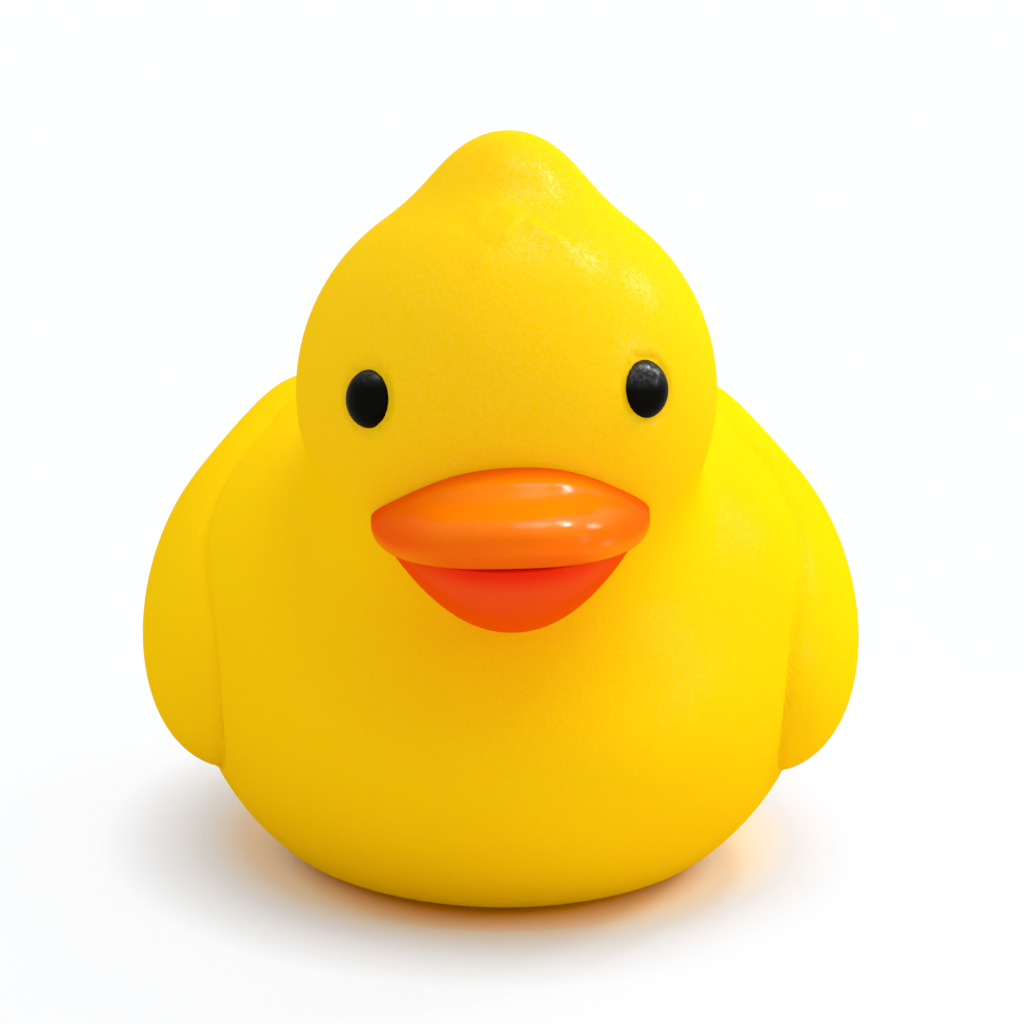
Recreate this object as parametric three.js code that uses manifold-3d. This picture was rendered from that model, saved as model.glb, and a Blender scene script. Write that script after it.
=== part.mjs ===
// Squeezable bath duck: one hollow moulding of soft vinyl, with its bill and eyes painted on raised forms.
// Millimetres. Z is up from the surface it stands on, the duck looks along -Y, and X is its width.
// The skin is a smooth union of rounded masses: every vertex of a sphere is pushed out from a point
// inside the duck until it meets that union. Bill and eyes are rounded bodies joined to the skin.

import * as THREE from "three";
import { mergeVertices } from "three/addons/utils/BufferGeometryUtils.js";
import Module from "manifold-3d";

// The moulding
const WALL = 2.0; // thickness of the vinyl
const VENT_RADIUS = 1.5; // air hole in the base

// Belly: the rounded mass that is cut flat to make the base
const BELLY_HALF_WIDTH = 31.5;
const BELLY_HALF_LENGTH = 25.2;
const BELLY_HALF_HEIGHT = 24;
const BELLY_HEIGHT = 17.6; // of its centre
const BELLY_Y = -2.5;

// Breast: the fullness in front, under the bill
const BREAST_HALF_WIDTH = 26;
const BREAST_HALF_LENGTH = 25.5;
const BREAST_HALF_HEIGHT = 17;
const BREAST_HEIGHT = 20.5;
const BREAST_Y = -12.7;

// Trunk: the full middle, from the shoulders to the back
const TRUNK_HALF_WIDTH = 33.6;
const TRUNK_HALF_LENGTH = 28.7;
const TRUNK_HALF_HEIGHT = 21.6;
const TRUNK_HEIGHT = 28.5;
const TRUNK_Y = -1.2;
const TRUNK_TILT = 18.6; // degrees

// Rump: the back, tipped up toward the tail
const RUMP_HALF_WIDTH = 27.5;
const RUMP_HALF_LENGTH = 26;
const RUMP_HALF_HEIGHT = 17.5;
const RUMP_HEIGHT = 27.5;
const RUMP_Y = 14;
const RUMP_TILT = 16; // degrees

// Tail: a taper from inside the rump to a blunt, upturned tip
const TAIL_ROOT_RADIUS = 12;
const TAIL_ROOT_HEIGHT = 33;
const TAIL_ROOT_Y = 18;
const TAIL_TIP_RADIUS = 2.9;
const TAIL_TIP_HEIGHT = 54;
const TAIL_TIP_Y = 43.4;
const TAIL_WIDENING = 1.7; // width over thickness

// Head, with the crest on its crown and the throat that fills the neck in front
const HEAD_RADIUS = 21.2;
const HEAD_HEIGHT = 54.7;
const HEAD_Y = -14.6;
const CREST_RADIUS = 6.6;
const CREST_OUT = 19.4; // from the head's centre
const CREST_LEAN = 13.4; // degrees, backward
const THROAT_HALF_WIDTH = 15;
const THROAT_HALF_LENGTH = 13.5;
const THROAT_HALF_HEIGHT = 13;
const THROAT_HEIGHT = 37;
const THROAT_Y = -16.7;

// Wings: a full oval lobe on each side, with a smaller one behind it that runs to the tip
const WING_SPAN = 76.4; // over both wings
const WING_HALF_THICKNESS = 12.35;
const WING_HALF_LENGTH = 24.1;
const WING_HALF_HEIGHT = 14.75;
const WING_HEIGHT = 26.4;
const WING_Y = 4.7;
const WING_PITCH = 19.7; // degrees, tips up
const WING_LEAN = 17.3; // degrees, tops toward each other
const WING_TOE = 7.6; // degrees, tips toward each other
const TIP_HALF_THICKNESS = 7.5;
const TIP_HALF_LENGTH = 13;
const TIP_HALF_HEIGHT = 6.5;
const TIP_BEHIND = 20.3; // from the lobe's centre
const TIP_ABOVE = 7.2;
const TIP_INBOARD = 3;
const TIP_PITCH = 32; // degrees

// Bill: the upper half with its ridge and rolled front, and the rounded lower half under it
const BILL_HALF_WIDTH = 13.7;
const BILL_REACH = 32.1; // of the front edge, from the head's centre
const BILL_OFFSET = 14.1; // of its widest point, from the head's centre
const BILL_ROOT = 8.5; // length inside the head
const BILL_BELOW = 7.4; // of the lip line, below the head's centre
const BILL_FRONT = 3.45; // thickness above the lip line, in front
const BILL_LIP = 1; // thickness below the lip line
const BILL_FLANK = 0.5; // further thickness below it at the sides
const BILL_ARCH = 0.55; // share of the height lost at the sides
const BILL_DROOP = 1.3; // of the corners
const RIDGE_RISE = 2.55; // further height at the face
const RIDGE_FORWARD = 0.61; // share of the way to the front edge
const RIDGE_CURVE = 0.25; // of the ridge, back toward the sides
const RIDGE_SOFTNESS = 0.042;
const ROLL_RISE = 0.75; // of the rolled front edge
const ROLL_FORWARD = 0.9;
const ROLL_SOFTNESS = 0.1;
const JAW_HALF_WIDTH = 11.95;
const JAW_REACH = 30.6;
const JAW_BELOW = 10.9; // of its fullest line, below the head's centre
const JAW_RISE = 2.4; // above that line
const JAW_DEPTH = 7.3;
const JAW_KEEL = 0.7; // share of the depth lost at the sides
const JAW_SMILE = 0.4; // rise of the corners

// Eyes: low domes
const EYE_AZIMUTH = 41.4; // degrees, to each side of straight ahead
const EYE_RISE = 11.8; // degrees, above the head's middle
const EYE_HALF_WIDTH = 2.65;
const EYE_HALF_HEIGHT = 2.9;
const EYE_HALF_DEPTH = 2.2;
const EYE_SINK = 0.8; // of the dome's centre, below the skin

// Softness of each join
const BODY_BLEND = 8;
const RUMP_BLEND = 10;
const TAIL_BLEND = 9;
const THROAT_BLEND = 9;
const NECK_BLEND = 5.9;
const CREST_BLEND = 6.3;
const WING_BLEND = 1.2;
const TIP_BLEND = 9;

const YELLOW = 0xf7cf08;
const ORANGE = 0xf57409;
const BLACK = 0x0e0e0a;

const wasm = await Module();
wasm.setup();

const { cos, sin, abs, sign, sqrt, min, max } = Math;
const radians = THREE.MathUtils.degToRad;

const point = (x, y, z) => new THREE.Vector3(x, y, z);

/** A turn about y, then x, then z, in degrees. */
const turn = (x, y = 0, z = 0) =>
  new THREE.Quaternion().setFromEuler(new THREE.Euler(radians(x), radians(y), radians(z), "ZXY"));

const head = point(0, HEAD_Y, HEAD_HEIGHT);
const core = point(0, BELLY_Y, (BELLY_HEIGHT + HEAD_HEIGHT) / 2 - 6);
const tailRoot = point(0, TAIL_ROOT_Y, TAIL_ROOT_HEIGHT);
const tailTip = point(0, TAIL_TIP_Y, TAIL_TIP_HEIGHT);
const crest = point(0, sin(radians(CREST_LEAN)), cos(radians(CREST_LEAN))).multiplyScalar(CREST_OUT).add(head);

/** An ellipsoid: its centre, its three radii and how it is turned. */
const oval = (centre, radii, turned = turn(0)) => ({ centre, radii, unturn: turned.clone().invert(), turned });

const belly = oval(point(0, BELLY_Y, BELLY_HEIGHT), point(BELLY_HALF_WIDTH, BELLY_HALF_LENGTH, BELLY_HALF_HEIGHT));
const breast = oval(
  point(0, BREAST_Y, BREAST_HEIGHT),
  point(BREAST_HALF_WIDTH, BREAST_HALF_LENGTH, BREAST_HALF_HEIGHT),
);
const trunk = oval(
  point(0, TRUNK_Y, TRUNK_HEIGHT),
  point(TRUNK_HALF_WIDTH, TRUNK_HALF_LENGTH, TRUNK_HALF_HEIGHT),
  turn(TRUNK_TILT),
);
const rump = oval(
  point(0, RUMP_Y, RUMP_HEIGHT),
  point(RUMP_HALF_WIDTH, RUMP_HALF_LENGTH, RUMP_HALF_HEIGHT),
  turn(RUMP_TILT),
);
const throat = oval(
  point(0, THROAT_Y, THROAT_HEIGHT),
  point(THROAT_HALF_WIDTH, THROAT_HALF_LENGTH, THROAT_HALF_HEIGHT),
);

const wingRadii = point(WING_HALF_THICKNESS, WING_HALF_LENGTH, WING_HALF_HEIGHT);
const wingTurn = turn(WING_PITCH, -WING_LEAN, WING_TOE);
const wingReach = point(1, 0, 0).applyQuaternion(wingTurn.clone().invert()).multiply(wingRadii).length();
const wingX = WING_SPAN / 2 - wingReach;
const lobe = oval(point(wingX, WING_Y, WING_HEIGHT), wingRadii, wingTurn);
const tip = oval(
  point(wingX - TIP_INBOARD, WING_Y + TIP_BEHIND, WING_HEIGHT + TIP_ABOVE),
  point(TIP_HALF_THICKNESS, TIP_HALF_LENGTH, TIP_HALF_HEIGHT),
  turn(TIP_PITCH),
);

/** Nearly the distance from p to an ellipsoid, negative inside. */
function ovalField(p, { centre, radii, unturn }) {
  const q = p.clone().sub(centre).applyQuaternion(unturn).divide(radii);
  const k = q.length();
  const slope = q.divide(radii).length();
  return (k * (k - 1)) / max(slope, 1e-9);
}

/** Distance from p to a ball, negative inside. */
const ballField = (p, centre, radius) => p.distanceTo(centre) - radius;

/** Distance from p to the round taper of the tail, measured with the width drawn in. */
function tailField(p) {
  const q = point(p.x / TAIL_WIDENING, p.y, p.z).sub(tailRoot);
  const axis = tailTip.clone().sub(tailRoot);
  const length = axis.length();
  axis.normalize();
  const fall = (TAIL_ROOT_RADIUS - TAIL_TIP_RADIUS) / length;
  const along = q.dot(axis);
  const out = q.clone().addScaledVector(axis, -along).length();
  const foot = THREE.MathUtils.clamp(along - (out * fall) / sqrt(1 - fall ** 2), 0, length);
  return Math.hypot(out, along - foot) - (TAIL_ROOT_RADIUS - fall * foot);
}

/** The smaller of two distances, rounded over where they are within blend of each other. */
function join(a, b, blend) {
  const near = max(blend - abs(a - b), 0) / blend;
  return min(a, b) - (near ** 2 * blend) / 4;
}

function wingField(p) {
  const q = point(abs(p.x), p.y, p.z);
  return join(ovalField(q, lobe), ovalField(q, tip), TIP_BLEND);
}

function skinField(p) {
  let body = join(ovalField(p, belly), ovalField(p, trunk), BODY_BLEND);
  body = join(body, ovalField(p, rump), RUMP_BLEND);
  body = join(body, ovalField(p, breast), BODY_BLEND);
  body = join(body, tailField(p), TAIL_BLEND);
  body = join(body, ovalField(p, throat), THROAT_BLEND);
  const crown = join(ballField(p, head, HEAD_RADIUS), ballField(p, crest, CREST_RADIUS), CREST_BLEND);
  return join(join(body, crown, NECK_BLEND), wingField(p), WING_BLEND);
}

/** The hollow: one wall inside the skin and the base. */
const hollowField = (p) => max(skinField(p) + WALL, WALL - p.z);

/** A sphere of radius 1 with its poles up and down. */
const ball = (around, rings) => new THREE.SphereGeometry(1, around, rings).rotateX(Math.PI / 2);

/** The same, with its rings closer near the crown and at the height of the tail, and its columns closer behind. */
function crowdedBall(around, rings) {
  const tail = tailTip.clone().sub(core).angleTo(point(0, 0, 1));
  return reshape(ball(around, rings), (d) => {
    const even = Math.PI * (Math.acos(THREE.MathUtils.clamp(d.z, -1, 1)) / Math.PI) ** 1.2;
    const polar = even - (0.12 * Math.tanh((even - tail) / 0.2) * sin(even)) / sin(tail);
    const turned = Math.atan2(d.x, -d.y);
    const azimuth = turned + 0.5 * sin(turned);
    return point(sin(polar) * sin(azimuth), -sin(polar) * cos(azimuth), cos(polar));
  });
}

/** Moves every vertex of a geometry. */
function reshape(geometry, move) {
  const { position } = geometry.attributes;
  const p = point(0, 0, 0);
  for (let i = 0; i < position.count; i += 1) {
    p.fromBufferAttribute(position, i);
    position.setXYZ(i, ...move(p).toArray());
  }
  return geometry;
}

/** Pushes a sphere's points out from a centre to where the field crosses zero. */
function inflate(geometry, field, centre) {
  return reshape(geometry, (d) => {
    let inside = 0;
    let outside = 150;
    for (let i = 0; i < 40; i += 1) {
      const middle = (inside + outside) / 2;
      const p = centre.clone().addScaledVector(d, middle);
      if (field(p) < 0) inside = middle;
      else outside = middle;
    }
    return centre.clone().addScaledVector(d, inside);
  });
}

const power = (value, exponent) => sign(value) * abs(value) ** exponent;

/**
 * Half of the bill: a lens over a round outline, rooted in the head. Its roundness is a pair of powers, for
 * the part above the rim and the part below, and height takes the place across, the place forward and the tilt.
 */
function lens({ halfWidth, reach, below, roundness, height }) {
  const forward = reach - BILL_OFFSET;
  return reshape(ball(36, 20), (d) => {
    const ring = max(Math.hypot(d.x, d.y), 1e-6);
    const out = ring ** (d.z > 0 ? roundness[0] : roundness[1]);
    const a = out * power(d.x / ring, 0.93);
    const b = out * power(-d.y / ring, 0.93);
    return point(
      head.x + halfWidth * a,
      head.y - BILL_OFFSET - (b > 0 ? forward : BILL_ROOT) * b,
      head.z - below + height(a, b, d.z),
    );
  });
}

/** Height of the upper half: high at the face, over a ridge to a low front that rolls up at its edge. */
function upperHeight(a, b, tilt) {
  const ridge = RIDGE_RISE / (1 + Math.exp((b - RIDGE_FORWARD + RIDGE_CURVE * a * a) / RIDGE_SOFTNESS));
  const edge = Math.exp(-(((Math.hypot(a, b) - ROLL_FORWARD) / ROLL_SOFTNESS) ** 2));
  const roll = ROLL_RISE * edge * THREE.MathUtils.smoothstep(b, 0.3, 0.8);
  const top = (BILL_FRONT + ridge + roll) * (1 - BILL_ARCH * a * a);
  const bottom = BILL_LIP + BILL_FLANK * a * a;
  return (tilt > 0 ? top * tilt ** 0.46 : -bottom * (-tilt) ** 0.7) - BILL_DROOP * a * a;
}

/** Height of the lower half: a bowl with a keel. */
function lowerHeight(a, b, tilt) {
  const bowl = tilt > 0 ? JAW_RISE * tilt ** 0.8 : -JAW_DEPTH * (1 - JAW_KEEL * a * a) * (-tilt) ** 1.17;
  return bowl + JAW_SMILE * a * a;
}

/** An ellipsoid as a mesh. */
function ovalMesh({ centre, radii, turned }, around, rings) {
  return reshape(ball(around, rings), (d) => d.clone().multiply(radii).applyQuaternion(turned).add(centre));
}

/** An eye: a dome that faces straight out of the head. */
function eye(side) {
  const out = point(
    side * sin(radians(EYE_AZIMUTH)) * cos(radians(EYE_RISE)),
    -cos(radians(EYE_AZIMUTH)) * cos(radians(EYE_RISE)),
    sin(radians(EYE_RISE)),
  );
  const turned = new THREE.Quaternion().setFromRotationMatrix(
    new THREE.Matrix4().lookAt(out, point(0, 0, 0), point(0, 0, 1)),
  );
  const centre = head.clone().addScaledVector(out, HEAD_RADIUS - EYE_SINK);
  return ovalMesh(oval(centre, point(EYE_HALF_WIDTH, EYE_HALF_HEIGHT, EYE_HALF_DEPTH), turned), 20, 12);
}

/** A closed geometry as a solid whose vertices carry a colour. */
function solid(geometry, hex) {
  const bare = new THREE.BufferGeometry();
  bare.setAttribute("position", geometry.getAttribute("position"));
  bare.setIndex(geometry.getIndex());
  const merged = mergeVertices(bare, 1e-4);
  const { position } = merged.attributes;
  const colour = new THREE.Color(hex);
  const vertProperties = new Float32Array(position.count * 6);
  for (let i = 0; i < position.count; i += 1) {
    vertProperties.set([position.getX(i), position.getY(i), position.getZ(i), colour.r, colour.g, colour.b], i * 6);
  }
  const triVerts = new Uint32Array(merged.index.array);
  return new wasm.Manifold(new wasm.Mesh({ numProp: 6, vertProperties, triVerts }));
}

/** A solid back as a geometry with positions, colours and normals. */
function geometryOf(body) {
  const { numProp, vertProperties, triVerts } = body.getMesh();
  const rows = new THREE.InterleavedBuffer(vertProperties, numProp);
  const geometry = new THREE.BufferGeometry();
  geometry.setAttribute("position", new THREE.InterleavedBufferAttribute(rows, 3, 0));
  geometry.setAttribute("color", new THREE.InterleavedBufferAttribute(rows, 3, 3));
  geometry.setIndex(new THREE.BufferAttribute(triVerts, 1));
  geometry.computeVertexNormals();
  return geometry;
}

const upperBill = lens({
  halfWidth: BILL_HALF_WIDTH,
  reach: BILL_REACH,
  below: BILL_BELOW,
  roundness: [0.46, 0.7],
  height: upperHeight,
});
const lowerBill = lens({
  halfWidth: JAW_HALF_WIDTH,
  reach: JAW_REACH,
  below: JAW_BELOW,
  roundness: [0.8, 0.75],
  height: lowerHeight,
});

const under = new THREE.BoxGeometry(200, 200, 100).translate(0, 0, -50);
const vent = new THREE.CylinderGeometry(VENT_RADIUS, VENT_RADIUS, 6 * WALL, 20)
  .rotateX(Math.PI / 2)
  .translate(0, BELLY_Y, 0);

const outside = solid(inflate(crowdedBall(84, 56), skinField, core), YELLOW)
  .subtract(solid(under, YELLOW))
  .add(solid(upperBill, ORANGE))
  .add(solid(lowerBill, ORANGE))
  .add(solid(eye(1), BLACK))
  .add(solid(eye(-1), BLACK));
const moulding = outside
  .subtract(solid(inflate(ball(32, 22), hollowField, core), YELLOW))
  .subtract(solid(vent, YELLOW));

const skin = new THREE.MeshStandardMaterial({ vertexColors: true, roughness: 0.42, metalness: 0 });
const shell = new THREE.Mesh(geometryOf(moulding), skin);
shell.name = "duck_shell";

const duck = new THREE.Group();
duck.add(shell);

export default duck;
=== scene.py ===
import bpy
import numpy as np
from mathutils import Matrix


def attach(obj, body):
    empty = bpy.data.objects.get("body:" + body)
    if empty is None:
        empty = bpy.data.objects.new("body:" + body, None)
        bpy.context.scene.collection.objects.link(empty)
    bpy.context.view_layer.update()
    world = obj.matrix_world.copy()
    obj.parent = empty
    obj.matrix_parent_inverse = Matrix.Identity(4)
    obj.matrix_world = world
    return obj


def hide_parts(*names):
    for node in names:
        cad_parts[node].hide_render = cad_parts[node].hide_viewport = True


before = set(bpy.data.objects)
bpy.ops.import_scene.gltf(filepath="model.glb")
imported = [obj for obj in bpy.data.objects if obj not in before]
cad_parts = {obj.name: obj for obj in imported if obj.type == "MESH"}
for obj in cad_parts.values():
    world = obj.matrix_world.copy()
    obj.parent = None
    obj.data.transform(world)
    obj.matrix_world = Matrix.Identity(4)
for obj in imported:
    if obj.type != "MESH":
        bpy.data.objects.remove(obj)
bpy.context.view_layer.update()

MM = 0.001

# The masses of the body: centre, then half width, half length and half height
BELLY = (0, -2.5, 17.6), (31.5, 25.2, 24)
BREAST = (0, -12.7, 20.5), (26, 25.5, 17)
TRUNK = (0, -1.2, 28.5), (33.6, 28.7, 21.6)
TRUNK_TILT = 18.6
RUMP = (0, 14, 27.5), (27.5, 26, 17.5)
RUMP_TILT = 16
THROAT = (0, -16.7, 37), (15, 13.5, 13)
TAIL_ROOT, TAIL_ROOT_RADIUS = np.array([0, 18, 33.0]), 12
TAIL_TIP, TAIL_TIP_RADIUS = np.array([0, 43.4, 54.0]), 2.9
TAIL_WIDENING = 1.7
WING = (25.4, 4.7, 26.4), (12.35, 24.1, 14.75)
WING_PITCH, WING_LEAN, WING_TOE = 19.7, 17.3, 7.6
WING_TIP = (21.3, 25, 33.4), (7.5, 13, 6.5)
WING_TIP_PITCH = 32

# How broadly each mass melts into those before it
TRUNK_BLEND, RUMP_BLEND, BREAST_BLEND, TAIL_BLEND, THROAT_BLEND = 8, 10, 8, 9, 9
CREST_BLEND, NECK_BLEND, WING_TIP_BLEND = 6.3, 5.9, 9
BASE_ROUNDING = 2.0

# A wing joins closely in front, with a fine groove along its edge, and more broadly from WING_REAR on
WING_BLEND, WING_REAR_BLEND = 0.8, 2.8
WING_REAR = 8, 26
GROOVE_DEPTH, GROOVE_WIDTH = 0.36, 0.32

# The head, its crest, and the slant of the photograph's view, which the hair locks are drawn on
HEAD, HEAD_RADIUS = np.array([0, -14.6, 54.7]), 21.2
CREST, CREST_RADIUS = np.array([0, -10.1, 73.6]), 6.6
VIEW_ELEVATION = 18.85
VIEW_UP = np.array([0, np.sin(np.radians(VIEW_ELEVATION)), np.cos(np.radians(VIEW_ELEVATION))])

# Each lock's line from root to end, across and up from the head's centre, then its height, spread and
# softness; a lock rises on the left of its line, fades in and out over these shares of it, and ends at the
# latest HAIR_BACK behind the head's centre
LOCKS = [
    ((-0.75, 13.5), (1.35, 16.65), 0.4, 2.6, 0.34),
    ((-2.9, 10.9), (-1.1, 14.2), 0.2, 2.0, 0.5),
    ((5.95, 14.0), (1.9, 16.3), 0.26, 1.6, 0.3),
    ((-3.1, 15.4), (-1.8, 17.3), 0.14, 2.0, 0.6),
    ((-1.6, 20.9), (7.6, 19.8), 0.17, 3.4, 1.8),
]
LOCK_FADE_IN, LOCK_FADE_OUT = (-0.25, 0.35), (0.75, 1.25)
HAIR_BACK = 2

# The face is moulded a little askew: eyes and bill are turned about the head's middle
EYE_ASKEW, BILL_ASKEW = 2.7, 2.0
EYE_AZIMUTH, EYE_RISE = 41.35, 11.9
EYE_HALF = (2.65, 2.9, 2.2)
EYE_SINK = 0.8

# The groove round an eye: its depth, then its place and its width as shares of the eye's size
SEAT_DEPTH, SEAT_PLACE, SEAT_WIDTH = 0.28, 1.04, 0.2

# The bill's halves: half width, reach in front of BILL_Y, then the powers and ends that lens() takes
BILL_Y, BILL_BACK = HEAD[1] - 14.1, 8.5
UPPER_BILL = 13.7, 18, 0.5, 0.4, 0.36
LOWER_BILL = 12.9, 18.05, 0.4, 0.618, 0
BILL_CORNERS = 0.93

# The upper bill: the lip's height and its drop at the ends, the underside's depth and what the ends add to
# it, the power of the rise over the lip and what the ends add to it, and the top's loss and slant across
LIP_Z, LIP_DROP = 47.3, 1.3
UPPER_UNDERSIDE_Z, UNDERSIDE_DEPTH, UNDERSIDE_ENDS = 46.3, 0.9, 0.6
RISE_POWER, RISE_ENDS = 0.5, 0.3
TOP_LOSS, TOP_SLANT = 0.5, 0.07

# On its top: the dish, the slope up to the face, the roll in front, the ridge, and the waist under the roll
DISH_HEIGHT, SLOPE_HEIGHT, SLOPE_PLACE, SLOPE_BEND, SLOPE_SOFTNESS = 3.3, 3.1, 0.62, 0.25, 0.1
ROLL_HEIGHT, ROLL_PLACE, ROLL_WIDTH = 0.8, 0.88, 0.13
RIDGE_HEIGHT, RIDGE_PLACE, RIDGE_BEND, RIDGE_WIDTH = 0.3, 0.56, 0.42, 0.04
WAIST_DEPTH, WAIST_PLACE, WAIST_WIDTH = 0.03, 0.45, 0.22

# The lower bill: its rim's height, rise at the ends and crown inside, the bowl's depth, what its ends lose
# and the power of its form, and how far the dip draws the front edge back and down
RIM_Z, RIM_RISE = 46.4, 0.2
RIM_CROWN = 0.5
BOWL_DEPTH, BOWL_LOSS, BOWL_POWER = 9.65, 0.59, 1.2
DIP_BACK, DIP_DOWN = 0.08, 0.1

# The mouth: its half width, how far forward it starts and is full; then the reach of the painted shade at the
# face
MOUTH_HALF_WIDTH = 8.5
MOUTH_FRONT = 0.4, 0.9
CREASE_SHADE_WIDTH = 2.1

# The skin's rays start at CORE; the air hole is straight under it
CORE = np.array([0, -3.1, 30.15])
VENT_RADIUS, VENT_DEPTH = 1.5, 2.4
VENT_NARROWING, VENT_LIP = 0.96, 0.15

# How finely each mesh is divided
SKIN_ROWS, SKIN_COLUMNS, SKIN_FIRST_POLAR = 232, 420, 0.4
SKIN_REACH, SKIN_HALVINGS, SKIN_STEP = 90.0, 26, 0.04
LENS_AROUND, LENS_OVER = 240, 121
EYE_AROUND, EYE_OVER = 72, 48
CROWDING_STEPS = 6000

# Colours, as red, green and blue light
DEEP_YELLOW, LIGHT_YELLOW = (0.96, 0.595, 0.001, 1), (0.98, 0.64, 0.002, 1)
# The bill: darker orange low down as painted shade, lighter orange on top as painted light
SHADED_CHIN_ORANGE, LIT_TOP_ORANGE = (0.87, 0.078, 0.0008, 1), (0.98, 0.24, 0.0012, 1)
# Painted shade in the crease at the face, and the lighter orange along the lip
CREASE_SHADE_ORANGE, LIP_ORANGE = (0.86, 0.075, 0.001, 1), (0.97, 0.36, 0.003, 1)
# Painted shade in the mouth
MOUTH_SHADE_RED = (0.88, 0.012, 0.0006, 1)
DEEP_BLACK, DUSTY_BLACK = (0.0015, 0.0015, 0.0012, 1), (0.004, 0.004, 0.0035, 1)
WHITE = (1, 1, 1, 1)
# Seen colours of the table, painted bounce light: a little yellow close to the duck, bluish further out to
# cancel the yellow bounce, and orange close under the breast
TABLE_CLOSE, TABLE_CLEAR = (0.98, 0.94, 0.9, 1), (0.74, 0.83, 1.0, 1)
TABLE_BOUNCE_ORANGE, TABLE_LIGHT = (1.0, 0.46, 0.0, 1), (0.77, 0.65, 0.54, 1)
GLOSS_IOR = 4.0

# Each light: its name, the direction it comes from, its spread in degrees and its strength
LIGHTS = [
    ("overhead_light", (0.15, 0.2, 0.97), 24, 0.5),
    ("upper_right_light", (0.45, 0.33, 0.83), 10, 0.25),
    ("right_light", (0.76, 0.4, 0.5), 12, 0.68),
    ("window_light", (0.93, -0.15, 0.33), 16, 0.4),
    ("lamp_light", (0.54, 0.26, 0.8), 6, 0.42),
]
DAYLIGHT = 0.82
TABLE_HALF, TABLE_Z = 4, -0.0001

# The camera: where it looks, from how many metres, and how it is turned
VIEW_AIM, VIEW_DISTANCE = np.array([0, -3.7, 36]), 0.42
VIEW_AZIMUTH, VIEW_ROLL = -0.94, 0.77


def turned_about(axis, degrees):
    """The matrix of a turn about x, y or z: cosine and sine in the plane across that axis."""
    c, s = np.cos(np.radians(degrees)), np.sin(np.radians(degrees))
    turns = {"x": [[1, 0, 0], [0, c, -s], [0, s, c]], "y": [[c, 0, s], [0, 1, 0], [-s, 0, c]]}
    return np.array(turns.get(axis, [[c, -s, 0], [s, c, 0], [0, 0, 1]]))


def ball(p, centre, radius):
    """Distance to a ball: the distance to its centre, less its radius."""
    return np.linalg.norm(p - centre, axis=-1) - radius


def oval(p, centre, radii, turn=np.eye(3)):
    """Nearly the distance to an ellipsoid: k (k - 1) over k's slope, for k the length of p over the radii."""
    q = (p - np.array(centre)) @ turn / np.array(radii)
    k = np.linalg.norm(q, axis=-1)
    return k * (k - 1) / np.maximum(np.linalg.norm(q / np.array(radii), axis=-1), 1e-9)


def taper(p, root, tip, root_radius, tip_radius, widening):
    """Distance to a round taper: across it to the nearest foot on its axis, less the radius at that foot."""
    q = (p - root) / np.array([widening, 1, 1])
    axis = tip - root
    length = np.linalg.norm(axis)
    axis = axis / length
    fall = (root_radius - tip_radius) / length
    along = q @ axis
    out = np.linalg.norm(q - along[..., None] * axis, axis=-1)
    foot = np.clip(along - out * fall / np.sqrt(1 - fall**2), 0, length)
    return np.hypot(out, along - foot) - (root_radius - fall * foot)


def join(a, b, blend):
    """The smaller of two distances, rounded over where they are within blend of each other."""
    near = np.maximum(blend - np.abs(a - b), 0) / blend
    return np.minimum(a, b) - near**2 * blend / 4


def ease(x, low, high):
    """0 below low, 1 above high, and an S of 3 t^2 - 2 t^3 between them."""
    t = np.clip((x - low) / (high - low), 0, 1)
    return t * t * (3 - 2 * t)


def bell(x, width):
    """1 at zero, falling off on both sides as e to the power of minus the square of x over width."""
    return np.exp(-((x / width) ** 2))


def power(value, exponent):
    """A power that keeps its sign."""
    return np.sign(value) * np.abs(value) ** exponent


def lock(across, up, start, end, height, spread, softness):
    """A lock of hair: a step along the line from start to end, then a bell to the left of it.

    The bell falls off over the given spread, and the lock fades at both ends of its line."""
    start, end = np.array(start), np.array(end)
    length = np.linalg.norm(end - start)
    heading = (end - start) / length
    t = ((across - start[0]) * heading[0] + (up - start[1]) * heading[1]) / length
    depth = (up - start[1]) * heading[0] - (across - start[0]) * heading[1]
    step = ease(depth, -softness, softness) * bell(np.maximum(depth, 0), spread)
    return height * step * ease(t, *LOCK_FADE_IN) * (1 - ease(t, *LOCK_FADE_OUT))


def hair(p):
    """Locks over the forehead and the fold of the crest, as heights on the plane that faces the viewer."""
    q = p - HEAD
    across, up = q[..., 0], q @ VIEW_UP
    return sum(lock(across, up, *line) for line in LOCKS) * (q[..., 1] < HAIR_BACK)


def eye_frame(side):
    """Right, up and outward directions of an eye, from its azimuth and rise, turned with the face."""
    a, r = np.radians(EYE_AZIMUTH) * side, np.radians(EYE_RISE)
    out = np.array([np.sin(a) * np.cos(r), -np.cos(a) * np.cos(r), np.sin(r)])
    right = np.cross([0, 0, 1], out) / np.cos(r)
    axes = np.stack([right, np.cross(out, right), out])
    return axes @ turned_about("y", -EYE_ASKEW).T


def eye_seat(p):
    """A shallow groove round each eye: a bell across the ring that is a little larger than the eye."""
    depth = 0
    for side in (-1, 1):
        right, up, out = eye_frame(side)
        q = p - HEAD
        ring = np.hypot(q @ right / EYE_HALF[0], q @ up / EYE_HALF[1])
        depth = depth + SEAT_DEPTH * bell(ring - SEAT_PLACE, SEAT_WIDTH) * (q @ out > 0)
    return depth


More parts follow.
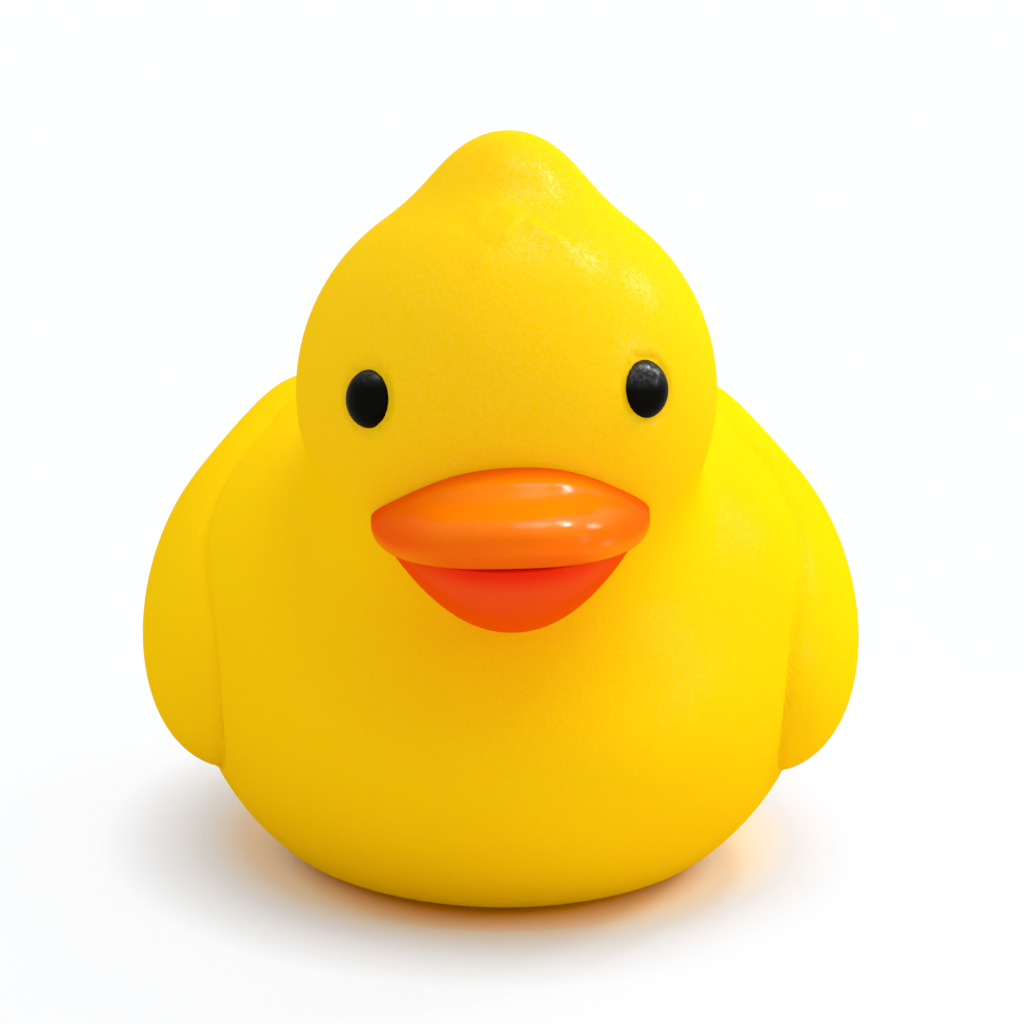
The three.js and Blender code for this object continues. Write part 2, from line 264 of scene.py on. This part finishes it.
def skin_field(p):
    """Distance to the duck's skin: masses joined softly, and wings joined closely with a groove in front.

    Hair is added, the eye seats are taken out, and the base is cut flat with a rounded edge."""
    body = join(oval(p, *BELLY), oval(p, *TRUNK, turned_about("x", TRUNK_TILT)), TRUNK_BLEND)
    body = join(body, oval(p, *RUMP, turned_about("x", RUMP_TILT)), RUMP_BLEND)
    body = join(body, oval(p, *BREAST), BREAST_BLEND)
    tail = taper(p, TAIL_ROOT, TAIL_TIP, TAIL_ROOT_RADIUS, TAIL_TIP_RADIUS, TAIL_WIDENING)
    body = join(body, tail, TAIL_BLEND)
    body = join(body, oval(p, *THROAT), THROAT_BLEND)
    crown = join(ball(p, HEAD, HEAD_RADIUS), ball(p, CREST, CREST_RADIUS), CREST_BLEND)
    body = join(body, crown, NECK_BLEND)
    side = p.copy()
    side[..., 0] = np.abs(p[..., 0])
    set_back = turned_about("z", WING_TOE) @ turned_about("x", WING_PITCH) @ turned_about("y", -WING_LEAN)
    lobe = oval(side, *WING, set_back)
    wing = join(lobe, oval(side, *WING_TIP, turned_about("x", WING_TIP_PITCH)), WING_TIP_BLEND)
    rear = ease(p[..., 1], *WING_REAR)
    groove = GROOVE_DEPTH * bell(body - wing, GROOVE_WIDTH) * (1 - rear)
    skin = join(body, wing, WING_BLEND + WING_REAR_BLEND * rear) + groove - hair(p) + eye_seat(p)
    return -join(-skin, p[..., 2], BASE_ROUNDING)


def crowded(count, low, high, thickness):
    """count values from low to high, spaced by equal steps of the running sum of thickness."""
    fine = np.linspace(low, high, CROWDING_STEPS + 1)
    middle = (fine[1:] + fine[:-1]) / 2
    running = np.concatenate([[0], np.cumsum(thickness(middle))])
    return np.interp(np.linspace(0, running[-1], count), running, fine)


def at_hair(polar):
    """How crowded the skin's rows are: most 20 degrees from the top, where the hair is."""
    return 1 + 2.4 * bell(np.degrees(polar) - 20, 12)


def at_face_and_wings(azimuth):
    """How crowded the skin's columns are: most in front, and a little at the wings' front edges."""
    return 1 + bell(azimuth, 0.42) + 0.5 * bell(np.abs(azimuth) - 1.15, 0.3)


def skin_surface():
    """The skin over polar angle and azimuth: on each ray from the core, the point where skin_field is zero.

    That point is found by halving. The last rows turn in at the air hole and up its wall."""
    last = np.pi - np.arctan(VENT_RADIUS / CORE[2])
    rows = crowded(SKIN_ROWS, np.radians(SKIN_FIRST_POLAR), last, at_hair)
    columns = crowded(SKIN_COLUMNS + 1, -np.pi, np.pi, at_face_and_wings)[:-1]
    polar, azimuth = np.meshgrid(rows, columns, indexing="ij")
    rays = np.stack([np.sin(polar) * np.sin(azimuth), -np.sin(polar) * np.cos(azimuth), np.cos(polar)], -1)
    inside, outside = np.zeros(polar.shape), np.full(polar.shape, SKIN_REACH)
    for _ in range(SKIN_HALVINGS):
        middle = (inside + outside) / 2
        within = skin_field(CORE + rays * middle[..., None]) < 0
        inside, outside = np.where(within, middle, inside), np.where(within, outside, middle)
    points = CORE + rays * inside[..., None]
    crown = CORE + np.array([0, 0, 1]) * inside[0].mean()
    steps = np.eye(3) * SKIN_STEP
    normals = np.stack([skin_field(points + step) - skin_field(points - step) for step in steps], -1)
    spokes = np.stack([np.sin(columns), -np.cos(columns), 0 * columns], -1)
    centre = np.array([CORE[0], CORE[1], 0])
    wall = [centre + spokes * VENT_RADIUS * VENT_NARROWING + [0, 0, h] for h in (VENT_LIP, VENT_DEPTH)]
    points = np.concatenate([points, np.stack(wall)])
    normals = np.concatenate([normals, np.stack([-spokes, -spokes])])
    return points, normals, crown, centre + [0, 0, VENT_DEPTH]


def shell(name, rings, first, last, material, slot, normals=None, marks=None):
    """A closed mesh from rings of points, a point that closes the first ring and one that closes the last.

    marks are values for each point of the rings, which the material reads by name."""
    count, around = rings.shape[:2]
    points = np.concatenate([rings.reshape(-1, 3), [first, last]]) * MM
    index = np.arange(count * around).reshape(count, around)
    beside = np.roll(index, -1, axis=1)
    quads = np.stack([index[:-1], index[1:], beside[1:], beside[:-1]], -1).reshape(-1, 4)
    top = np.stack([np.full(around, count * around), index[0], beside[0]], -1)
    bottom = np.stack([np.full(around, count * around + 1), beside[-1], index[-1]], -1)
    mesh = bpy.data.meshes.new(name)
    mesh.from_pydata(points.tolist(), [], quads.tolist() + top.tolist() + bottom.tolist())
    mesh.polygons.foreach_set("use_smooth", np.ones(len(mesh.polygons), bool))
    mesh.materials.append(material)
    if normals is not None:
        flat = np.concatenate([normals.reshape(-1, 3), [[0, 0, 1], [0, 0, -1]]])
        mesh.normals_split_custom_set_from_vertices(flat / np.linalg.norm(flat, axis=1, keepdims=True))
    for mark, values in (marks or {}).items():
        layer = mesh.attributes.new(mark, "FLOAT", "POINT")
        layer.data.foreach_set("value", np.append(values.ravel(), [0, 0]).astype(np.float32))
    mesh.validate()
    piece = bpy.data.objects.new(name, mesh)
    bpy.context.collection.objects.link(piece)
    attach(piece, "root")
    return piece


def askew(points, degrees):
    """Points turned about the line that runs forward through the head's middle."""
    return (points - HEAD) @ turned_about("y", -degrees).T + HEAD


def pooled(points):
    """Painted shade in the crease where the bill meets the face: a bell of the distance to the skin."""
    return bell(np.maximum(skin_field(points), 0), CREASE_SHADE_WIDTH)


def mouth_span(x):
    """1 in mid-mouth, less at its corners: e to minus the fourth power of x over the mouth's half width."""
    return np.exp(-((x / MOUTH_HALF_WIDTH) ** 4))


def lens(half_width, forward, above, below, ends):
    """A flat oval of two parameters: round it, and over it from the top past the rim to the underside.

    The place across (a) and forward (b) is the cosine of the tilt, to one power above the rim and another
    below it; both powers grow by ends at the two sides. Gives a, b, the sine of the tilt, and a function
    that turns a place into x and y."""
    around = np.linspace(0, 2 * np.pi, LENS_AROUND + 1)[:-1]
    over = np.linspace(np.pi / 2, -np.pi / 2, LENS_OVER + 2)[1:-1]
    v, u = np.meshgrid(over, around, indexing="ij")
    out = np.cos(v) ** (np.where(v > 0, above, below) + ends * np.cos(u) ** 4)
    a, b = out * power(np.cos(u), BILL_CORNERS), -out * power(np.sin(u), BILL_CORNERS)

    def place(a, b):
        return half_width * a, BILL_Y - np.where(b > 0, forward, BILL_BACK) * b

    return a, b, np.sin(v), place


def from_ridge(a, b):
    """How far a place on the upper bill is in front of its ridge, which bends back at the ends."""
    return b - RIDGE_PLACE + RIDGE_BEND * a * a


def upper_bill_top(a, b):
    """Height over the lip: a dish, a slope to the face, a roll in front and a low ridge, less at the ends."""
    slope = SLOPE_HEIGHT * (1 / (1 + np.exp((b - SLOPE_PLACE + SLOPE_BEND * a * a) / SLOPE_SOFTNESS)))
    roll = ROLL_HEIGHT * bell(np.hypot(a, b) - ROLL_PLACE, ROLL_WIDTH) * ease(b, 0.3, 0.8)
    ridge = RIDGE_HEIGHT * bell(from_ridge(a, b), RIDGE_WIDTH)
    return (DISH_HEIGHT + slope + roll + ridge) * (1 - TOP_LOSS * a * a) * (1 + TOP_SLANT * a)


def upper_bill():
    """The upper bill: a lens whose top slopes from the face over a low ridge to a dish, and rolls in front.

    Below the roll its front draws in, and flares again at the lip; its ends are rounder than its front.
    Its marks: lighter along the lip, painted shade in the crease at the face, rubbed bright, and painted
    shade over the mouth."""
    a, b, tilt, place = lens(*UPPER_BILL)
    side = (a * a / (a * a + b * b)) ** 2
    rise = power(tilt, RISE_POWER + RISE_ENDS * side)
    lip = LIP_Z - LIP_DROP * a * a
    underside = UNDERSIDE_DEPTH + UNDERSIDE_ENDS * a * a
    z = lip + np.where(tilt > 0, rise * upper_bill_top(a, b), rise * underside)
    waist = 1 - WAIST_DEPTH * bell(rise - WAIST_PLACE, WAIST_WIDTH) * ease(b, 0.1, 0.6)
    x, y = place(a * waist, b * waist)
    rings = askew(np.stack([x, y, z], -1), BILL_ASKEW)
    middle = np.array([[0, BILL_Y, LIP_Z + upper_bill_top(0, 0)], [0, BILL_Y, UPPER_UNDERSIDE_Z]])
    edge = bell(tilt + 0.06, 0.13) * (0.2 + 0.8 * ease(np.abs(a), 0.4, 0.75))
    # Painted shade: the mouth mark darkens and reddens the underside over the mouth.
    mouth = 0.6 * ease(-tilt, -0.05, 0.6) * mouth_span(x) * ease(b, *MOUTH_FRONT)
    ridge = bell(from_ridge(a, b), 0.07) * ease(tilt, 0, 0.3)
    roll = bell(np.hypot(a, b) - 0.9, 0.1) * ease(b, 0.2, 0.6) * ease(tilt, 0.35, 0.7)
    rubbed = np.maximum(1.6 * ridge, 3 * roll) * (0.25 + 0.75 * ease(a, -0.1, 0.3))
    # The crease mark is painted shade where the bill meets the face.
    marks = {"edge": edge, "pooled": pooled(rings), "rubbed": rubbed, "mouth": mouth}
    return rings, *askew(middle, BILL_ASKEW), marks


def lower_bill():
    """The lower bill: a bowl with a keel, close under the lip; a dip in its front edge shows the mouth.

    The bowl's depth is a power of the tilt, and less toward the two ends."""
    a, b, tilt, place = lens(*LOWER_BILL)
    under = power(tilt, BOWL_POWER) * BOWL_DEPTH * (1 - BOWL_LOSS * a * a)
    bowl = np.where(tilt > 0, power(tilt, 0.5) * RIM_CROWN, under)
    x, y = place(a, b)
    dip = mouth_span(x) * ease(tilt, -0.36, 0.0) * ease(b, *MOUTH_FRONT)
    z = RIM_Z + RIM_RISE * a * a + bowl - DIP_DOWN * dip
    rings = askew(np.stack([x, y + DIP_BACK * dip, z], -1), BILL_ASKEW)
    middle = np.array([[0, BILL_Y, RIM_Z], [0, BILL_Y, RIM_Z - BOWL_DEPTH]])
    edge = 0.15 * ease(-tilt, 0.4, 0.9)
    rubbed = 0.5 * bell(tilt + 0.3, 0.2) * ease(b, 0.5, 0.9)
    # The crease mark is painted shade at the face, and the mouth mark painted shade in the dip.
    marks = {"edge": edge, "pooled": 0.3 * pooled(rings), "rubbed": rubbed, "mouth": dip}
    return rings, *askew(middle, BILL_ASKEW), marks


def eye(side):
    """An eye: a dome of cosines and sines round its outward axis, with its inner half sunk in the head."""
    axes = eye_frame(side)
    around = np.linspace(0, 2 * np.pi, EYE_AROUND + 1)[:-1]
    over = np.linspace(0, np.pi, EYE_OVER + 2)[1:-1]
    v, u = np.meshgrid(over, around, indexing="ij")
    local = np.stack([np.sin(v) * np.cos(u), np.sin(v) * np.sin(u), np.cos(v)], -1) * EYE_HALF
    centre = HEAD + axes[2] * (HEAD_RADIUS - EYE_SINK)
    ends = np.array([[0, 0, EYE_HALF[2]], [0, 0, -EYE_HALF[2]]])
    return local @ axes + centre, *(ends @ axes + centre)


class Wire:
    """One output of a node, which adds and multiplies as a number does."""

    def __init__(self, tree, socket=None):
        self.tree, self.socket = tree, socket

    def node(self, kind, settings, sockets, output=0):
        """A new node: its settings first, then the value or link of each socket. Gives one of its outputs."""
        made = self.tree.nodes.new(kind)
        for name, value in settings.items():
            setattr(made, name, value)
        for name, value in sockets.items():
            if isinstance(value, Wire):
                self.tree.links.new(value.socket, made.inputs[name])
            else:
                made.inputs[name].default_value = value
        return Wire(self.tree, made.outputs[output] if made.outputs else None)

    def math(self, operation, *values):
        """A Math node on values."""
        return self.node("ShaderNodeMath", {"operation": operation}, dict(enumerate(values)))

    def mix(self, factor, low, high):
        """The colour low where factor is 0 and high where it is 1."""
        return self.node("ShaderNodeMix", {"data_type": "RGBA"}, {0: factor, 6: low, 7: high}, 2)

    def ramp(self, value, low, high, at_low=0.0, at_high=1.0, form="LINEAR"):
        """at_low up to where value is low, at_high from where it is high, and a steady change between."""
        sockets = {"Value": value, "From Min": low, "From Max": high, "To Min": at_low, "To Max": at_high}
        return self.node("ShaderNodeMapRange", {"interpolation_type": form}, sockets)

    def __add__(self, other):
        return self.math("ADD", self, other)

    def __mul__(self, other):
        return self.math("MULTIPLY", self, other)

    __radd__, __rmul__ = __add__, __mul__


def new_finish(name):
    """An empty material, a wire to add its nodes with, and the place of each point in metres."""
    material = bpy.data.materials.new(name)
    material.use_nodes = True
    material.node_tree.nodes.clear()
    w = Wire(material.node_tree)
    return material, w, w.node("ShaderNodeTexCoord", {}, {}, "Object")


def height_of(w, place):
    """How far up a place is, in metres."""
    return w.node("ShaderNodeSeparateXYZ", {}, {"Vector": place}, "Z")


def noise(w, place, scale, detail, roughness=0.5):
    """Cloudy noise from 0 to 1 at so many waves a metre."""
    sockets = {"Vector": place, "Scale": scale, "Detail": detail, "Roughness": roughness}
    return w.node("ShaderNodeTexNoise", {}, sockets)


def relief(w, strength, depth, height):
    """Fine relief that only the light shows, as deep as depth in metres."""
    return w.node("ShaderNodeBump", {}, {"Strength": strength, "Distance": depth, "Height": height})


def coated(w, sockets):
    """Joins a surface to the material's output. What it mirrors is nearly all in its coat."""
    surface = w.node("ShaderNodeBsdfPrincipled", {}, {"Coat IOR": GLOSS_IOR, **sockets})
    w.node("ShaderNodeOutputMaterial", {}, {"Surface": surface})


def yellow_vinyl():
    """Satin vinyl, coloured through: fine sand grain, faint mould unevenness, slight drifts of yellow.

    Its gloss sparkles with the grain, and grows from the breast up to the crest, which is handled most."""
    material, w, place = new_finish("yellow_vinyl")
    grain = noise(w, place, scale=2600, detail=3, roughness=0.6)
    pebble = noise(w, place, scale=900, detail=2)
    drift = noise(w, place, scale=38, detail=3)
    handled = w.ramp(height_of(w, place), 40 * MM, 80 * MM, 0.36, 1.8)
    sparkle = w.ramp(grain, 0.42, 0.58)
    coated(
        w,
        {
            "Base Color": w.mix(drift, DEEP_YELLOW, LIGHT_YELLOW),
            "Roughness": 0.36 + grain * 0.1 + drift * 0.04,
            "Normal": relief(w, 0.5, 0.08 * MM, grain + pebble * 0.6),
            "Specular IOR Level": 0.0,
            "Coat Weight": handled * (0.004 + sparkle * 0.028),
            "Coat Roughness": 0.27,
            "Subsurface Weight": 0.2,
            "Subsurface Radius": (1.0, 0.5, 0.08),
            "Subsurface Scale": 3 * MM,
        },
    )
    return material


def orange_paint():
    """Glossy orange paint: darker and redder toward the chin as painted shade, lighter on top as painted
    light, and with painted shade in the crease at the face and in the mouth.

    It is lighter and yellower along the lip and under the lower bowl, and glossiest where it is rubbed."""
    material, w, place = new_finish("orange_paint")
    drift = noise(w, place, scale=110, detail=3)
    grain = noise(w, place, scale=1500, detail=3)
    shade_at_face, edge, rubbed, mouth = (
        w.node("ShaderNodeAttribute", {"attribute_name": mark}, {}, "Fac")
        for mark in ("pooled", "edge", "rubbed", "mouth")
    )
    # Painted shade and light: darker and redder toward the chin, lighter toward the top
    up = w.ramp(height_of(w, place) + drift * (3 * MM), 47.5 * MM, 53.5 * MM)
    colour = w.mix(up, SHADED_CHIN_ORANGE, LIT_TOP_ORANGE)
    # Painted shade in the crease where the bill meets the face.
    colour = w.mix(shade_at_face * 0.75, colour, CREASE_SHADE_ORANGE)
    # Lighter and yellower along the lip and under the lower bowl
    colour = w.mix(edge * 0.6, colour, LIP_ORANGE)
    # Painted shade in the mouth.
    colour = w.mix(mouth * 0.9, colour, MOUTH_SHADE_RED)
    coated(
        w,
        {
            "Base Color": colour,
            "Roughness": 0.16 + grain * 0.08 + drift * 0.08,
            "Normal": relief(w, 0.25, 0.05 * MM, grain + drift * 2.0),
            "Specular IOR Level": 0.0,
            "Coat Weight": 0.01 + rubbed * (0.015 + drift * 0.04),
            "Coat Roughness": 0.15,
            "Subsurface Weight": 0.1,
            "Subsurface Radius": (1.0, 0.3, 0.05),
            "Subsurface Scale": 2 * MM,
        },
    )
    return material


def black_paint():
    """Glossy black paint, thicker over the top of the eye, with brush marks and some dust in its gloss."""
    material, w, place = new_finish("black_paint")
    grain = noise(w, place, scale=2600, detail=2)
    drift = noise(w, place, scale=420, detail=2)
    thick = w.ramp(height_of(w, place), 59.8 * MM, 62.2 * MM, form="SMOOTHSTEP")
    streak = w.ramp(grain, 0.4, 0.6)
    coated(
        w,
        {
            "Base Color": w.mix(drift, DEEP_BLACK, DUSTY_BLACK),
            "Roughness": 0.3 + drift * 0.15,
            "Normal": relief(w, 0.3, 0.05 * MM, grain + drift),
            "Specular IOR Level": 0.02,
            "Coat Weight": 0.002 + thick * (0.08 + streak * 0.14),
            "Coat Roughness": 0.28,
        },
    )
    return material


def seen_rays(w):
    """1 where a surface is looked at, straight, in a gloss or through glass; 0 where it only gives light."""
    straight, in_gloss, through_glass = (
        w.node("ShaderNodeLightPath", {}, {}, f"Is {ray} Ray") for ray in ("Camera", "Glossy", "Transmission")
    )
    return w.math("MINIMUM", straight + in_gloss + through_glass, 1.0)


def oval_distance(w, place, scale, shift=(0, 0, 0)):
    """The length of a place times scale plus shift: a distance that is the same all round an oval."""
    scaled = w.node("ShaderNodeVectorMath", {"operation": "MULTIPLY_ADD"}, {0: place, 1: scale, 2: shift})
    return w.node("ShaderNodeVectorMath", {"operation": "LENGTH"}, {0: scaled}, "Value")


def white_table():
    """The table: matt, whiter where it is seen than where it lights the duck, and plain white further away.

    Close under the breast its seen colour is painted orange, as painted bounce light from the vinyl above it;
    nearer the duck it is a little yellow as painted bounce, and bluish further out, which cancels the yellow
    of the light bounced from the duck."""
    material, w, place = new_finish("white_table")
    seen = seen_rays(w)
    plain = w.node("ShaderNodeEmission", {}, {"Color": WHITE, "Strength": 1})
    away = oval_distance(w, place, (0.97, 1.08, 0))
    # Further out the seen table turns plain white, which fades the duck's shadow there
    share = w.ramp(away, 26.5 * MM, 42 * MM, 0.0, 0.88)
    # Painted bounce light: a little yellow close to the duck, then bluish to cancel the yellow bounce further
    # out
    clear = w.ramp(away, 25.5 * MM, 31 * MM)
    # Orange close under the breast, painted bounce light from the vinyl
    near = oval_distance(w, place, (1.2, 1.4, 0), (0, 8.4 * MM, 0))
    painted_bounce = w.ramp(near, 20.5 * MM, 27.5 * MM, 1.0, 0.0)
    tinted = w.mix(painted_bounce, w.mix(clear, TABLE_CLOSE, TABLE_CLEAR), TABLE_BOUNCE_ORANGE)
    lit = w.node("ShaderNodeBsdfDiffuse", {}, {"Color": w.mix(seen, TABLE_LIGHT, tinted)})
    surface = w.node("ShaderNodeMixShader", {}, {0: seen * share, 1: lit, 2: plain})
    w.node("ShaderNodeOutputMaterial", {}, {"Surface": surface})
    return material


def looking(back, roll):
    """Axes of something that looks along minus back: right and up turned by roll about back."""
    right = np.cross([0, 0, 1], back)
    right = right / np.linalg.norm(right)
    up = np.cross(back, right)
    c, s = np.cos(np.radians(roll)), np.sin(np.radians(roll))
    axes = np.stack([right * c + up * s, up * c - right * s, back])
    return Matrix(axes.T.tolist()).to_4x4()


def soft_sun(name, towards, spread, strength):
    """Even light from a direction, soft over a spread of degrees."""
    lamp = bpy.data.lights.new(name, "SUN")
    lamp.angle, lamp.energy = np.radians(spread), strength
    stand = bpy.data.objects.new(name, lamp)
    stand.matrix_world = looking(np.array(towards) / np.linalg.norm(towards), 0)
    bpy.context.collection.objects.link(stand)


vinyl, orange, black = yellow_vinyl(), orange_paint(), black_paint()

points, normals, crown, hole = skin_surface()
skin = shell("duck_skin", points, crown, hole, vinyl, "yellow_vinyl", normals)
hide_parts("duck_shell")
for name, half in (("duck_bill_upper", upper_bill()), ("duck_bill_lower", lower_bill())):
    shell(name, *half[:3], orange, "orange_paint", marks=half[3])
shell("duck_eye_left", *eye(-1), black, "black_paint")
shell("duck_eye_right", *eye(1), black, "black_paint")

table = bpy.data.meshes.new("table")
corners = [(x * TABLE_HALF, y * TABLE_HALF, TABLE_Z) for x, y in ((-1, -1), (1, -1), (1, 1), (-1, 1))]
table.from_pydata(corners, [], [(0, 1, 2, 3)])
table.materials.append(white_table())
table_top = bpy.data.objects.new("table", table)
bpy.context.collection.objects.link(table_top)

for light in LIGHTS:
    soft_sun(*light)

world = bpy.data.worlds.new("studio")
world.use_nodes = True
world.node_tree.nodes.clear()
w = Wire(world.node_tree)
brightness = DAYLIGHT + seen_rays(w) * (1 - DAYLIGHT)
daylight = w.node("ShaderNodeBackground", {}, {"Color": WHITE, "Strength": brightness})
w.node("ShaderNodeOutputWorld", {}, {"Surface": daylight})
bpy.context.scene.world = world

azimuth, elevation = np.radians(VIEW_AZIMUTH), np.radians(VIEW_ELEVATION)
across = np.cos(elevation)
back = np.array([np.sin(azimuth) * across, -np.cos(azimuth) * across, np.sin(elevation)])
camera = bpy.data.cameras.new("camera")
camera.lens, camera.sensor_width = 140.83, 36
camera.shift_x, camera.shift_y = 0.0089, 0.01875
camera.clip_start = 0.01
viewer = bpy.data.objects.new("camera", camera)
viewer.matrix_world = Matrix.Translation(VIEW_AIM * MM + back * VIEW_DISTANCE) @ looking(back, VIEW_ROLL)
bpy.context.collection.objects.link(viewer)
bpy.context.scene.camera = viewer
bpy.context.scene.view_settings.view_transform = "Standard"

bpy.context.view_layer.update()
